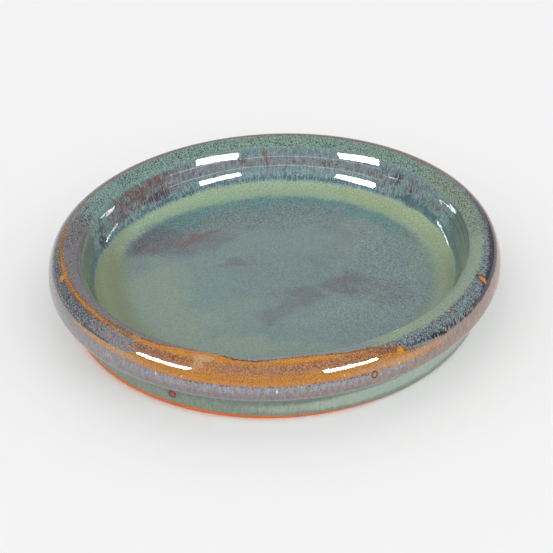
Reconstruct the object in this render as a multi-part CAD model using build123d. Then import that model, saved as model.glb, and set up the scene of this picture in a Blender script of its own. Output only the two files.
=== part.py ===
from build123d import *
import os
from collections import namedtuple
from math import asin, atan2, cos, degrees, hypot, radians, sin, sqrt

# A round plant saucer with a rolled rim: one fired clay body and the three glaze coats fused to it.
# Millimetres. +Z is up, the Z axis is the saucer's axis, and z = 0 is the table it stands on.

# Overall sizes, over the glaze
outer_diameter = 260.0
overall_height = 39.5

# Glaze coats
green_coat = 0.5
rim_coat = 0.4
bare_foot_height = 2.0

# Rolled rim of the clay, from the well side over the crest to its underside
crest_radius = 8.1
shoulder_radius = 19.6
underside_radius = 7.6
neck_radius = 3.5

# Well
wall_lean = 7.0
cove_radius = 15.3
floor_thickness = 7.3

# Foot
foot_inset = 11.8
foot_ring_width = 11.0
foot_recess = 3.0
foot_edge_radius = 1.0

# Angles in degrees: a tilt is how far the surface's outward normal leans from straight up,
# negative towards the axis and positive away from it
roll_tilt = 60.0
side_tilt = 90.0
rim_coat_end_tilt = 150.0
foot_wall_taper = 4.0
recess_slope = 60.0
down_tilt = 180.0

# An arc of the section: its centre, its radius, and its first and last tilt.
# The radius is negative where the clay is hollow, so adding a coat always moves it outwards.
Arc = namedtuple("Arc", "r z radius start end")


def normal(tilt):
    return Vector(sin(radians(tilt)), 0, cos(radians(tilt)))


def place(arc, tilt, coat=0):
    return Vector(arc.r, 0, arc.z) + normal(tilt) * (arc.radius + coat)


def curve(arc, coat=0):
    middle_tilt = (arc.start + arc.end) / 2
    return ThreePointArc(place(arc, arc.start, coat), place(arc, middle_tilt, coat), place(arc, arc.end, coat))


def arc_through(point, tilt, radius, start, end):
    """The arc that passes through a point of the section where its tilt is known."""
    centre = point - normal(tilt) * radius
    return Arc(centre.X, centre.Z, radius, start, end)


def turned(face):
    return revolve(face, axis=Axis.Z)


# Clay surface under the coats
clay_radius = outer_diameter / 2 - green_coat - rim_coat
clay_height = overall_height - green_coat - rim_coat
floor_height = foot_recess + floor_thickness

# Rim: crest, shoulder and underside are tangent to each other in that order
shoulder_centre_r = clay_radius - shoulder_radius
crest_centre_r = shoulder_centre_r + (shoulder_radius - crest_radius) * sin(radians(roll_tilt))
crest_centre_z = clay_height - crest_radius
crest_inside = Arc(crest_centre_r, crest_centre_z, crest_radius, -roll_tilt, 0)
crest_outside = Arc(crest_centre_r, crest_centre_z, crest_radius, 0, roll_tilt)
crest_outer_end = place(crest_outside, roll_tilt)
shoulder = arc_through(crest_outer_end, roll_tilt, shoulder_radius, roll_tilt, side_tilt)
widest_point = place(shoulder, side_tilt)
underside_coated = arc_through(widest_point, side_tilt, underside_radius, side_tilt, rim_coat_end_tilt)

# Foot wall: a slight cone that rises from the foot's outer edge to the neck
wall_tilt = side_tilt + foot_wall_taper
foot_r = clay_radius - foot_inset
foot_edge = Arc(foot_r, foot_edge_radius, foot_edge_radius, wall_tilt, down_tilt)
wall_foot = place(foot_edge, wall_tilt)
wall_out = normal(wall_tilt)
wall_up = normal(foot_wall_taper)

# Neck: the hollow that joins the rim's underside to the foot wall, tangent to both
underside_centre = Vector(underside_coated.r, 0, underside_coated.z)
to_underside = underside_centre - wall_foot - wall_out * neck_radius
across = to_underside.dot(wall_out)
neck_rise = to_underside.dot(wall_up) - sqrt((underside_radius + neck_radius) ** 2 - across**2)
neck_centre = wall_foot + wall_out * neck_radius + wall_up * neck_rise
neck_tilt = down_tilt - degrees(asin((neck_centre - underside_centre).X / (underside_radius + neck_radius)))
underside_bare = underside_coated._replace(start=rim_coat_end_tilt, end=neck_tilt)
neck = Arc(neck_centre.X, neck_centre.Z, -neck_radius, neck_tilt, wall_tilt)
wall_top = place(neck, wall_tilt)
glaze_line = wall_foot + wall_up * (bare_foot_height - foot_edge_radius)

# Well: a double curve of two equal arcs falls from the crest to the cove, and the cove runs into the floor
throat_top = place(crest_inside, -roll_tilt)
cove_top = Vector(throat_top.X - wall_lean, 0, floor_height + cove_radius * (1 - cos(radians(roll_tilt))))
fall = throat_top - cove_top
bend = degrees(atan2(fall.Z, fall.X)) - roll_tilt
wall_radius = hypot(fall.X, fall.Z) / (4 * sin(radians(bend)))
steep_tilt = -roll_tilt - 2 * bend
throat = arc_through(throat_top, -roll_tilt, wall_radius, steep_tilt, -roll_tilt)
lower_wall = arc_through(cove_top, -roll_tilt, -wall_radius, -roll_tilt, steep_tilt)
cove = arc_through(cove_top, -roll_tilt, -cove_radius, 0, -roll_tilt)

# Recess under the floor, inside the foot ring, with a double curve as its side
ring_inner_r = foot_r - foot_ring_width
ring_edge_tilt = down_tilt + recess_slope
recess_cove_radius = foot_recess / (1 - cos(radians(recess_slope))) - foot_edge_radius
ring_edge = Arc(ring_inner_r, foot_edge_radius, foot_edge_radius, down_tilt, ring_edge_tilt)
ring_edge_top = place(ring_edge, ring_edge_tilt)
recess_cove = arc_through(ring_edge_top, ring_edge_tilt, -recess_cove_radius, ring_edge_tilt, down_tilt)

well_arcs = [cove, lower_wall, throat, crest_inside]
rim_arcs = [throat, crest_inside, crest_outside, shoulder, underside_coated]
wall_arcs = [crest_outside, shoulder, underside_coated, underside_bare, neck]


def floor_centre(coat):
    return Vector(0, 0, floor_height + coat)


def glaze_foot(coat):
    return glaze_line + wall_out * coat


def side(arcs, coat, lead=None, tail=None):
    """The edges of one side of a coat, with a straight stretch before or after its arcs if it has one."""
    edges = [curve(arc, coat) for arc in arcs]
    if lead:
        edges.insert(0, Line(lead(coat), edges[0] @ 0))
    if tail:
        edges.append(Line(edges[-1] @ 1, tail(coat)))
    return edges


def coat_body(arcs, low, high, lead=None, tail=None):
    """A turned coat between two heights above the clay, closed square to the surface at both ends."""
    under = side(arcs, low, lead, tail)
    over = side(arcs, high, lead, tail)
    first_end = Line(under[0] @ 0, over[0] @ 0)
    last_end = Line(under[-1] @ 1, over[-1] @ 1)
    return turned(make_face([*under, *over, first_end, last_end]))


def clay_body():
    """The fired clay: floor, wall, rolled rim and a foot ring round a shallow recess."""
    recess_centre = Vector(0, 0, foot_recess)
    edges = side(well_arcs, 0, lead=floor_centre)
    edges += side(wall_arcs, 0, tail=glaze_foot)
    edges.append(Line(glaze_line, wall_foot))
    edges.append(curve(foot_edge))
    edges.append(Line(place(foot_edge, down_tilt), place(ring_edge, down_tilt)))
    edges += [curve(ring_edge), curve(recess_cove)]
    edges.append(Line(place(recess_cove, down_tilt), recess_centre))
    edges.append(Line(recess_centre, floor_centre(0)))
    return turned(make_face(edges))


nodes = {
    "clay_body": clay_body(),
    # Green glaze poured into the well, up to the crest of the rim
    "well_glaze": coat_body(well_arcs, 0, green_coat, lead=floor_centre),
    # Green glaze on the outside, from the crest down to the bare foot
    "wall_glaze": coat_body(wall_arcs, 0, green_coat, tail=glaze_foot),
    # Amber and lavender glaze laid over both green coats along the rim
    "rim_glaze": coat_body(rim_arcs, green_coat, green_coat + rim_coat),
}

os.makedirs("parts", exist_ok=True)
for name, body in nodes.items():
    export_step(body, f"parts/{name}.step")
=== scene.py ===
from math import atan2, ceil, cos, degrees, hypot, pi, radians, sin, sqrt

import bpy
import numpy as np
from mathutils import Matrix, Vector

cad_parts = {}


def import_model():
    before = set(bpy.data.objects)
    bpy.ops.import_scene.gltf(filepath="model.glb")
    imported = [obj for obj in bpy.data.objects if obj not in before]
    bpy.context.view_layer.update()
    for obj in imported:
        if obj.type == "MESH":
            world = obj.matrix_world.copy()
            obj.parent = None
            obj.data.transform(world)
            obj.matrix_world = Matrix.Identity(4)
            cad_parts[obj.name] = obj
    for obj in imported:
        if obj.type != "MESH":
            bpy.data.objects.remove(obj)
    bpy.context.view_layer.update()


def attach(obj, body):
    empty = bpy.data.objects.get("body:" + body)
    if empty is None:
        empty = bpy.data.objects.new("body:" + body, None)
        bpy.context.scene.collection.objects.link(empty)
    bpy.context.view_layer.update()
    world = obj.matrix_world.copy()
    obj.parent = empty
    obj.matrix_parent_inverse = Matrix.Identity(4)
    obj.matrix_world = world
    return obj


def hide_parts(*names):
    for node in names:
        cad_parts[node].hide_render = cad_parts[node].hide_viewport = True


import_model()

# A round plant saucer: clay with a glossy green glaze, and a second glaze over the rolled rim.
# Metres. Azimuth is in degrees, 0 towards the camera and growing to its right.
mm = 0.001

# Sizes of the section, the same as the frame's
outer_radius = 130 * mm
overall_height = 39.5 * mm
green_coat = 0.5 * mm
rim_coat = 0.4 * mm
crest_radius = 8.1 * mm
shoulder_radius = 19.6 * mm
underside_radius = 7.6 * mm
neck_radius = 3.5 * mm
wall_lean = 7.0 * mm
cove_radius = 15.3 * mm
floor_thickness = 7.3 * mm
foot_inset = 11.8 * mm
foot_ring_width = 11.0 * mm
foot_recess = 3.0 * mm
foot_edge_radius = 1.0 * mm

# Tilts of the section, in degrees from straight up, negative towards the axis
roll_tilt = 60
side_tilt = 90
foot_taper = 4
recess_slope = 60
down_tilt = 180

# Hand-made roundness: how far the saucer leaves a true circle, for two and for three lobes
two_lobe_cos, two_lobe_sin = -0.0010, 0.0026
three_lobe_cos, three_lobe_sin = -0.0010, 0.0017

# Green coat: how far it settled, and the throwing ridges on the well wall, with their strength at azimuths
settle_depth = 0.008 * mm
floor_calm = 20 * mm
ridge_height = 0.012 * mm
ridge_pitch = 2.8 * mm
ridge_twist = 3
ridge_top = -9 * mm
ridge_azimuths = (-150, -130, -108, -90, -40, 0, 40, 90, 108, 130, 142)
ridge_strengths = (0, 0.8, 1, 0.5, 0.3, 0.15, 0.4, 0.6, 1, 0.9, 0)

# Glaze line: bare clay below it at azimuths, as a height in millimetres above the foot's lowest edge
glaze_line_azimuths = (-180, -120, -56, -30, -8, 8, 20, 30, 45, 90, 140)
glaze_line_heights = (1.0, 2.2, 3.1, 2.9, 2.4, 1.9, 1.3, 0.6, 0.2, 0.2, 0.5)
glaze_line_waver = 0.12 * mm
lowest_glaze_tilt = 120
bead_width = 0.9 * mm

# Rim coat
rim_feather = 5 * mm
thin_edge = 0.02 * mm

# Turning rings in the recess under the floor
groove_height = 0.07 * mm
groove_pitch = 5.2 * mm

turns = 640
path_step = 0.05 * mm
hub_radius = 1.5 * mm


# Section of the saucer

def normal(tilt):
    """The outward direction, as (r, z), of a surface with that tilt."""
    tilt = np.radians(tilt)
    return np.stack([np.sin(tilt), np.cos(tilt)], -1)


class Path:
    """The clay's section as a fine line of points, each with its tilt and its reach.

    Reach is the distance along the glazed surface from the crest, negative into the well."""

    def __init__(self):
        self.points, self.tilts, self.steps, self.starts = [], [], [], {}
        self.length = 0.0

    def add(self, name, points, tilts, coat):
        over = points + coat * normal(tilts)
        along = np.concatenate([[0.0], np.cumsum(np.hypot(*np.diff(over, axis=0).T))])
        self.starts[name] = self.length
        self.points.append(points)
        self.tilts.append(tilts)
        self.steps.append(self.length + along)
        self.length += along[-1]

    def arc(self, name, centre, radius, start, end, coat):
        count = max(8, ceil(abs(radius * radians(end - start)) / path_step))
        tilts = np.linspace(start, end, count)
        self.add(name, centre + radius * normal(tilts), tilts, coat)

    def line(self, name, start, end, tilt, coat):
        count = max(2, ceil(float(np.hypot(*(end - start))) / path_step))
        self.add(name, np.linspace(start, end, count), np.full(count, float(tilt)), coat)

    def finish(self, crest):
        """Joins the runs. Where two meet they share a point, so reach grows a little at every step."""
        self.points = np.concatenate(self.points)
        self.tilts = np.concatenate(self.tilts)
        self.reach = np.concatenate(self.steps) - self.starts[crest]
        self.starts = {name: reach - self.starts[crest] for name, reach in self.starts.items()}
        self.reach += np.arange(len(self.reach)) * 1e-12


def section():
    floor_height = foot_recess + floor_thickness
    both = green_coat + rim_coat
    clay_radius = outer_radius - both
    shoulder_r = clay_radius - shoulder_radius
    crest_r = shoulder_r + (shoulder_radius - crest_radius) * sin(radians(roll_tilt))
    crest = np.array([crest_r, overall_height - both - crest_radius])
    shoulder = crest + normal(roll_tilt) * (crest_radius - shoulder_radius)
    underside = np.array([clay_radius - underside_radius, shoulder[1]])

    throat_top = crest + crest_radius * normal(-roll_tilt)
    cove_top_height = floor_height + cove_radius * (1 - cos(radians(roll_tilt)))
    cove_top = np.array([throat_top[0] - wall_lean, cove_top_height])
    fall = throat_top - cove_top
    bend = degrees(atan2(fall[1], fall[0])) - roll_tilt
    wall_radius = hypot(*fall) / (4 * sin(radians(bend)))
    steep = -roll_tilt - 2 * bend
    cove = cove_top + cove_radius * normal(-roll_tilt)
    lower_wall = cove_top + wall_radius * normal(-roll_tilt)
    throat = throat_top - wall_radius * normal(-roll_tilt)

    wall_tilt = side_tilt + foot_taper
    wall_out, wall_up = normal(wall_tilt), normal(foot_taper)
    foot = np.array([clay_radius - foot_inset, foot_edge_radius])
    wall_foot = foot + foot_edge_radius * wall_out
    to_underside = underside - wall_foot - neck_radius * wall_out
    apart = underside_radius + neck_radius
    rise = to_underside @ wall_up - sqrt(apart**2 - (to_underside @ wall_out) ** 2)
    neck = wall_foot + neck_radius * wall_out + rise * wall_up
    neck_tilt = down_tilt - degrees(atan2(neck[0] - underside[0], underside[1] - neck[1]))

    ring = foot - np.array([foot_ring_width, 0])
    ring_tilt = down_tilt + recess_slope
    recess_radius = foot_recess / (1 - cos(radians(recess_slope))) - foot_edge_radius
    recess = ring + (foot_edge_radius + recess_radius) * normal(ring_tilt)

    path = Path()
    path.line("floor", np.array([0, floor_height]), np.array([cove[0], floor_height]), 0, green_coat)
    path.arc("cove", cove, -cove_radius, 0, -roll_tilt, green_coat)
    path.arc("lower_wall", lower_wall, -wall_radius, -roll_tilt, steep, green_coat)
    path.arc("throat", throat, wall_radius, steep, -roll_tilt, both)
    path.arc("crest_inside", crest, crest_radius, -roll_tilt, 0, both)
    path.arc("crest", crest, crest_radius, 0, roll_tilt, both)
    path.arc("shoulder", shoulder, shoulder_radius, roll_tilt, side_tilt, both)
    path.arc("underside", underside, underside_radius, side_tilt, neck_tilt, both)
    path.arc("neck", neck, -neck_radius, neck_tilt, wall_tilt, green_coat)
    path.line("foot_wall", wall_foot + rise * wall_up, wall_foot, wall_tilt, green_coat)
    path.arc("foot_edge", foot, foot_edge_radius, wall_tilt, down_tilt, 0)
    path.line("foot_ring", foot * [1, 0], ring * [1, 0], down_tilt, 0)
    path.arc("ring_edge", ring, foot_edge_radius, down_tilt, ring_tilt, 0)
    path.arc("recess_cove", recess, -recess_radius, ring_tilt, down_tilt, 0)
    path.line("recess", np.array([recess[0], foot_recess]), np.array([0, foot_recess]), down_tilt, 0)
    path.finish("crest")
    return path


path = section()
at = path.starts
path_end = path.reach[-1]
azimuths = np.linspace(-180, 180, turns, endpoint=False)


def smooth(x):
    x = np.clip(x, 0, 1)
    return x * x * (3 - 2 * x)


def above(value, edge, fade):
    """0 up to an edge, growing to 1 over the fade's width past it."""
    return smooth((value - edge) / fade)


def below(value, edge, fade):
    return smooth((edge - value) / fade)


def round_interp(azimuth, places, values):
    """Values at given azimuths, in rising order, joined smoothly all the way round."""
    places, values = np.asarray(places, float), np.asarray(values, float)
    lefts = np.searchsorted(places, azimuth, side="right") - 1
    rights = (lefts + 1) % len(places)
    lefts = lefts % len(places)
    gap = (places[rights] - places[lefts]) % 360
    share = ((azimuth - places[lefts]) % 360) / np.where(gap == 0, 360, gap)
    return values[lefts] + (values[rights] - values[lefts]) * smooth(share)


def waves(azimuth, reach, seed, across, along, count):
    """A soft seeded unevenness between about -1 and 1. Its usual wave lengths are in millimetres."""
    draw = np.random.default_rng(seed)
    girth = 2 * pi * outer_radius / mm
    total = np.zeros(np.broadcast(azimuth, reach).shape)
    for _ in range(count):
        lobes = max(1, round(girth / (across * draw.uniform(0.6, 1.8))))
        pitch = 2 * pi / (along * draw.uniform(0.6, 1.8))
        phase, spin = draw.uniform(0, 2 * pi, 2)
        sign = draw.choice([-1, 1])
        total = total + np.sin(sign * lobes * np.radians(azimuth) + phase) * np.sin(pitch * reach + spin)
    return total / sqrt(count)


def oval():
    """How far each azimuth lies from the axis, as a share of a true circle's radius."""
    turn = np.radians(azimuths - 90)
    return (1 + two_lobe_cos * np.cos(2 * turn) + two_lobe_sin * np.sin(2 * turn)
            + three_lobe_cos * np.cos(3 * turn) + three_lobe_sin * np.sin(3 * turn))


def surface(reach, coat):
    """A ring of points at a reach, with a coat of that thickness over the clay."""
    tilt = np.radians(np.interp(reach, path.reach, path.tilts))
    r = np.interp(reach, path.reach, path.points[:, 0]) + coat * np.sin(tilt)
    z = np.interp(reach, path.reach, path.points[:, 1]) + coat * np.cos(tilt)
    r = np.maximum(r, 0) * oval()
    turn = np.radians(azimuths)
    return np.stack([r * np.sin(turn), -r * np.cos(turn), z + 0 * r], -1)


# Thickness of the coats over a ring of points

def green_thickness(reach):
    settle = settle_depth * waves(azimuths, reach / mm, seed=3, across=40, along=18, count=10)
    on_wall = above(reach, at["lower_wall"], 3 * mm) * below(reach, ridge_top, 2 * mm)
    strength = round_interp(azimuths, ridge_azimuths, ridge_strengths)
    ridges = np.sin(2 * pi * reach / ridge_pitch + np.radians(ridge_twist * azimuths))
    ridges = ridge_height * ridges * strength
    return green_coat + settle * above(reach, at["floor"], floor_calm) + ridges * on_wall


rim_inner_edge = at["lower_wall"] + 3 * mm
rim_outer_edge = 31 * mm


def rim_thickness(reach):
    rise = above(reach, rim_inner_edge, rim_feather) * below(reach, rim_outer_edge, rim_feather)
    return thin_edge + (rim_coat - thin_edge) * rise


def glazed_rim_thickness(reach):
    return green_thickness(reach) + rim_thickness(reach)


def glaze_line():
    """Reach at which the wall's glaze ends, at each azimuth."""
    height = round_interp(azimuths, glaze_line_azimuths, glaze_line_heights) * mm
    height = height + glaze_line_waver * waves(azimuths, 0, seed=11, across=9, along=9, count=8)
    lowest = at["foot_edge"] + radians(lowest_glaze_tilt - side_tilt - foot_taper) * foot_edge_radius
    return np.minimum(at["foot_edge"] + foot_edge_radius - np.maximum(height, 0), lowest)


# Meshes

def turned_mesh(name, rings, closed_loop=False):
    """A closed body from rings of points. Without closed_loop, its first and last rings close on the axis."""
    count = len(rings)
    verts = np.concatenate(rings)
    here = np.arange(turns)
    there = (here + 1) % turns
    faces = []
    for k in range(count if closed_loop else count - 1):
        ring, following = k * turns, ((k + 1) % count) * turns
        faces += np.stack([ring + here, following + here, following + there, ring + there], 1).tolist()
    if not closed_loop:
        heights = [np.mean(ring, axis=0)[2] for ring in (rings[0], rings[-1])]
        first, last, base = len(verts), len(verts) + 1, (count - 1) * turns
        verts = np.concatenate([verts, [[0, 0, height] for height in heights]])
        faces += np.stack([np.full(turns, first), here, there], 1).tolist()
        faces += np.stack([base + here, np.full(turns, last), base + there], 1).tolist()
    mesh = bpy.data.meshes.new(name)
    mesh.from_pydata(verts.tolist(), [], faces)
    mesh.shade_smooth()
    return mesh


def add_object(name, data):
    made = bpy.data.objects.new(name, data)
    bpy.context.scene.collection.objects.link(made)
    return made


def piece(name, mesh, material, slot, *nodes):
    body = add_object(name, mesh)
    mesh.materials.append(material)
    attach(body, "root")
    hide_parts(*nodes)


def spread(stops, end):
    """Reaches of rings up to the end. Each stop is where it starts and how far apart its rings are."""
    reaches = []
    starts = [start for start, _ in stops]
    for (start, spacing), following in zip(stops, starts[1:] + [end]):
        count = max(1, ceil(abs(following - start) / spacing))
        reaches += list(np.linspace(start, following, count, endpoint=False))
    return np.array(reaches + [end])


# Layout of the colours: where each shade lies, by azimuth and by reach in millimetres

def band(reach, azimuth, points, low_fade, high_fade):
    """The band's strength at each place. Its edges fade half to each side."""
    where, low, high, strength = zip(*points)
    low = round_interp(azimuth, where, low)
    high = round_interp(azimuth, where, high)
    inside = smooth((reach - low) / low_fade + 0.5) * smooth((high - reach) / high_fade + 0.5)
    return inside * round_interp(azimuth, where, strength)


def blot(across, along, wide, high, strength):
    """An oval that fades from half its size to one and a half times it."""
    return strength * smooth(1.5 - np.sqrt((across / wide) ** 2 + (along / high) ** 2))


def patches(reach, azimuth, spots):
    total = 0 * reach
    for turn, middle, wide, high, strength in spots:
        apart = (azimuth - turn + 180) % 360 - 180
        total = np.maximum(total, blot(apart, reach - middle, wide, high, strength))
    return total


def clouds(x, y, spots):
    total = 0 * x
    for cx, cy, long, wide, turn, strength in spots:
        c, s = cos(radians(turn)), sin(radians(turn))
        u, v = (x - cx) * c + (y - cy) * s, (y - cy) * c - (x - cx) * s
        total = np.maximum(total, blot(u, v, long, wide, strength))
    return total


BANDS = []


def lay(shade, low_fade, high_fade, *points):
    """A band round the saucer: its shade, how softly its low and high edges fade, and its points.

    A point is (azimuth, lowest reach, highest reach, strength), in order of azimuth. A shade may have several
    bands and spots."""
    BANDS.append((shade, low_fade, high_fade, points))


lay("pool", 14, 6, (-180, -44, -31, 1), (-160, -44, -30.8, 1), (-150, -42.5, -30.8, 1), (-140, -40, -31.4, 1),
    (-128, -38, -31, 1), (-118, -37, -30.6, 1), (-108, -39.5, -29.8, 0.9), (-95, -47, -28.3, 0.5),
    (-80, -49, -27.8, 0.3), (0, -45, -29, 0.4), (75, -43, -29, 0.6), (95, -42, -28, 0.9),
    (110, -42, -27.6, 1), (130, -42, -29, 1), (145, -43, -30.2, 1), (160, -44, -30.8, 1))
lay("pool_yellow", 9, 5, (-180, -40, -32, 0.25), (-150, -38, -32, 0.3), (-120, -36, -31, 0.2),
    (0, -40, -32, 0), (85, -40, -31, 0.2), (100, -38, -30, 0.6), (118, -39, -30.5, 0.85),
    (135, -39.5, -31, 1), (150, -39, -32, 0.85), (165, -39, -32, 0.4))
lay("pool_olive", 22, 4, (-130, -37, -30, 0), (-112, -40, -29.6, 0.7), (-98, -47, -28.3, 1),
    (-80, -49, -27.8, 1), (-30, -46, -28.5, 0.8), (0, -45, -29, 0.5), (60, -43, -29, 0.6),
    (85, -42, -28.8, 0.8), (105, -42, -28.8, 0.35), (120, -42, -29, 0))
# Painted shade: a darker green all round the well wall. It shows at the sides, where the other wall shades
# give out.
lay("shaded_side_wall", 4, 4, (-180, -29, -9, 1), (0, -28, -9, 1))
lay("wall", 5.5, 4.5, (-180, -30.5, -9.4, 1), (-108, -29.6, -9.4, 1), (-96, -28, -9, 0.15), (-80, -28, -9, 0),
    (80, -28, -9, 0), (98, -28, -9, 0.1), (112, -28, -9, 1), (140, -30, -9.4, 1))
lay("wall_green", 6, 8, (-180, -27, -9, 0.4), (-150, -28, -9, 0.46), (-130, -30, -9, 0.62),
    (-108, -30, -9, 0.66), (-96, -28, -9, 0.2), (0, -28, -9, 0), (98, -28, -9, 0.1), (112, -28, -9, 0.5),
    (140, -28, -9, 0.45))
# Painted reflection: a darker, browner grey on the back wall between the two pale lines, standing in for the
# front rim's inside seen mirrored there.
lay("mid_wall_reflection", 3, 3.4, (-180, -22, -14.8, 0.7), (-152, -22, -14.8, 0.7), (-138, -25, -12, 0.55),
    (-122, -24, -12, 0.55), (-112, -24, -13, 0.1), (118, -20, -15, 0), (130, -21.6, -14.8, 0.4),
    (150, -22, -14.8, 0.65))
lay("wall_brown", 5, 3, (-180, -24, -11, 0.18), (-158, -25, -11, 0.25), (-150, -27, -10.8, 0.4),
    (-140, -27, -10.4, 0.56), (-120, -27, -10.4, 0.58), (-110, -26, -11, 0.4), (-98, -24, -11, 0),
    (104, -28, -12, 0), (114, -28, -11, 0.34), (126, -28, -11, 0.42), (140, -27, -11, 0.4),
    (158, -25, -11, 0.24))
# Painted reflections: two thin pale lines round the back wall, standing in for glints on faint throwing
# ridges.
lay("painted_reflection_line", 0.5, 0.5, (-180, -21.4, -20.8, 0.8), (-146, -22, -21.3, 0.7), (-138, -21.6, -21, 0),
    (132, -21.4, -20.8, 0), (146, -21.7, -21, 0.7))
lay("painted_reflection_line", 0.5, 0.5, (-180, -15.6, -15, 0.8), (-146, -15.2, -14.5, 0.7), (-138, -15, -14.4, 0),
    (132, -15.4, -14.8, 0), (146, -15.3, -14.7, 0.7))
lay("fringe", 3.6, 5, (-180, -30.4, -27, 0.6), (-160, -30.4, -27, 0.6), (-140, -31, -27, 0.6),
    (-125, -31, -26.6, 0.52), (-110, -29.6, -25.6, 0.58), (-98, -28.2, -24.6, 0.72),
    (-90, -27.4, -24.6, 0.55), (-80, -27.4, -25.5, 0.1), (78, -26.6, -24, 0.1), (100, -27.6, -24, 0.55),
    (118, -28.8, -23.4, 0.8), (128, -29, -23.6, 0.72), (140, -30, -27, 0.65), (160, -30.4, -27.4, 0.7))
lay("haze", 4, 2, (-114, -16, -11, 0), (-104, -15, -11.2, 0.5), (-92, -15, -11.8, 0.62),
    (-76, -15, -11.8, 0.55), (-66, -15, -11, 0))
lay("brown_hem", 2.4, 2, (-104, -11, -7, 0), (-99, -11, -6.4, 0.8), (-93, -11.6, -8.6, 0.65),
    (-84, -12, -9.4, 0.8), (-74, -12, -9.4, 0.75), (-60, -12, -9, 0.3), (-45, -12, -9, 0))
lay("crest_green", 4.5, 1.2, (-180, -9.6, 0, 1), (-112, -10.4, 0, 1), (-104, -10.8, 0, 0.7), (-97, -11, 0, 0),
    (96, -9, -0.5, 0), (112, -9.6, -0.8, 0.6), (135, -9.6, -0.8, 1))
lay("crest_blue", 6, 3, (-180, -12, -0.5, 0.25), (-150, -13, -0.5, 0.3), (-125, -13, -0.5, 0.45),
    (-110, -12, -0.5, 0.42), (-98, -12, -0.5, 0.1), (-80, -12, -0.5, 0.1), (20, -4, 3, 0.1),
    (60, -3, 3, 0.35), (90, -2.6, 2.4, 0.4), (112, -12, 0.5, 0.25), (140, -13, -0.5, 0.28))
lay("crest_sage", 4, 2, (-22, -9, 0, 0), (-8, -12, -0.5, 0.3), (15, -12, 2, 0.7), (26, -11, 2.8, 1),
    (40, -9.5, 2.6, 1), (60, -9.3, 1.6, 1), (80, -9, 0.8, 1), (100, -9.3, 0.3, 1), (118, -9.8, -0.7, 0.8),
    (135, -10, -0.8, 0))
lay("crest_grey", 3.4, 1.2, (-116, -11, 0, 0), (-106, -10.6, -0.1, 0.55), (-98, -10.6, 0.2, 1),
    (-60, -11, 0, 1), (-38, -14, 0.2, 1), (-28, -14, -1, 0.9), (-18, -14, -2.5, 0.6), (-8, -14, -1, 0))
lay("lip_teal", 3, 1, (-22, -14, -1, 0), (-13, -14, -0.4, 0.9), (-5, -14, 1.4, 1), (3, -14, 0, 1),
    (12, -14, 1, 1), (20, -13, 2.2, 0.9), (30, -12, 2, 0))
lay("outside", 2, 3, (-180, 5, 33, 1), (-125, 3, 33, 1), (-94, 3, 33, 1), (-60, 9, 33, 1), (0, 14, 33, 1),
    (45, 12, 33, 1), (70, 10, 33, 1), (100, 4, 33, 1))
lay("outside_pale", 2.4, 3, (-180, 12, 20, 0.4), (-120, 8, 22, 0.5), (-90, 7, 22, 0.6), (-72, 10, 22, 0.6),
    (-58, 12, 20, 0.25), (-45, 15, 21, 0.1), (-20, 15, 20.5, 0.35), (22, 15.6, 20, 0.4), (40, 16, 20, 0.2),
    (90, 9, 20, 0.5), (130, 9, 20, 0.5))
lay("outside_blue", 2, 3.4, (-180, 14, 20, 0.3), (-60, 14, 19, 0.3), (-30, 15, 19.4, 0.6),
    (-20, 15.4, 19.6, 0.85), (0, 15.6, 19.4, 0.95), (22, 15.8, 19.4, 0.9), (40, 16.4, 21, 0.62),
    (60, 15, 23, 0.5), (90, 12, 22, 0.45))
lay("outside_low", 4, 4, (-180, 21, 28, 0.5), (-60, 20, 28, 0.5), (-25, 20.4, 28, 0.9), (20, 20.6, 28, 0.9),
    (60, 19, 28, 0.6))
lay("outside_pink", 3, 4, (-180, 13, 22, 0.4), (-90, 9, 13, 0.3), (-62, 11, 14, 0.6), (-45, 12, 15, 0.4),
    (-25, 18.5, 23, 0.35), (0, 19, 23, 0.5), (20, 18.5, 23, 0.55), (35, 17, 23, 0.6), (48, 13, 23, 0.7),
    (62, 12, 23, 0.8), (90, 8, 22, 0.8), (130, 10, 22, 0.5))
lay("outside_rust", 3, 5, (-180, 12, 24, 0.2), (-60, 14, 24, 0.15), (0, 19, 26, 0.22), (40, 15, 26, 0.42),
    (60, 12, 26, 0.5), (90, 9, 24, 0.4))
lay("charcoal_and_dark_reflections", 1.8, 1.1, (-112, 3, 5, 0), (-98, 3.2, 6, 0.4), (-84, 3.4, 8.6, 0.6), (-76, 3.3, 9.8, 0.9),
    (-66, 3.2, 10.8, 1), (-54, 3.1, 11.2, 1), (-47, 3.1, 11, 0.7), (-40, 3, 10, 0.1), (-34, 3, 10, 0))
# Painted reflections: three thin dark lines on the right wall, laid in the charcoal shade.
lay("charcoal_and_dark_reflections", 0.4, 0.4, (58, -10.1, -9.2, 0), (72, -10.1, -9.2, 1), (100, -10.1, -9.2, 1),
    (114, -10.5, -9.6, 0))
lay("charcoal_and_dark_reflections", 0.4, 0.4, (62, -13.2, -12.4, 0), (76, -13.2, -12.4, 0.9), (104, -13.2, -12.4, 0.9),
    (120, -13.2, -12.4, 0))
lay("charcoal_and_dark_reflections", 0.4, 0.4, (62, -17.4, -16.6, 0), (76, -17.4, -16.6, 0.8), (104, -17.4, -16.6, 0.8),
    (120, -17.4, -16.6, 0))
lay("pepper", 2, 2, (-180, -9, 6, 0.36), (-125.5, -9, 6, 0.36), (-125, -10, 2, 0.2), (-112, -9, 6, 0.36),
    (-98, -9, 8, 0.36), (-80, 2.6, 10, 0.4), (-60, 3, 11, 0.45), (-46, 3, 11, 0.36), (-30, 3, 9, 0.14),
    (0, 4, 9, 0.1), (22, 3, 8, 0.3), (34, 4, 10, 0.42), (60, 1.6, 9, 0.42), (85, 0, 6, 0.3),
    (85.6, -9, 6, 0.36))
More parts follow.
